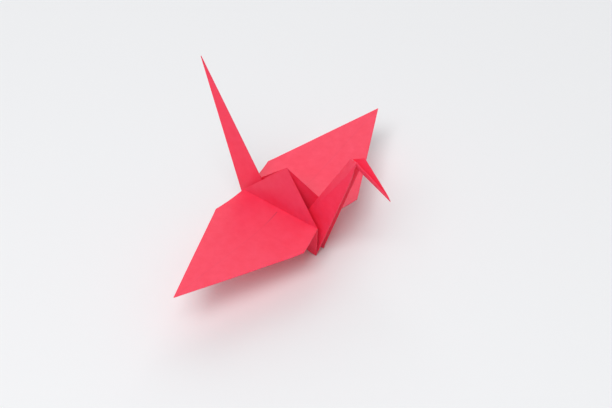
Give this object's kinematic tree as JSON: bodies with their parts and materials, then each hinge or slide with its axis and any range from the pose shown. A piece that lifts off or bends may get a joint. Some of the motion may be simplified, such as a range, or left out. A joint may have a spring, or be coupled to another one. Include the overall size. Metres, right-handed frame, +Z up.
{
  "type": "origami crane",
  "caption": "Crane folded from one square of coloured paper, with two outstretched wings, a raised tail, a raised neck and a bent head.",
  "frame": {"origin": "on the surface it stands on, under the middle of its bounding box", "axes": "+X from the tail to the neck, +Y to the crane's left wing, +Z up"},
  "size_m": [0.0814, 0.1312, 0.0696],
  "materials": {
    "coloured_paper": "matt coral red craft paper with a fine fibre texture"
  },
  "bodies": {
    "root": {"folded_sheet": "coloured_paper"}
  },
  "joints": []
}
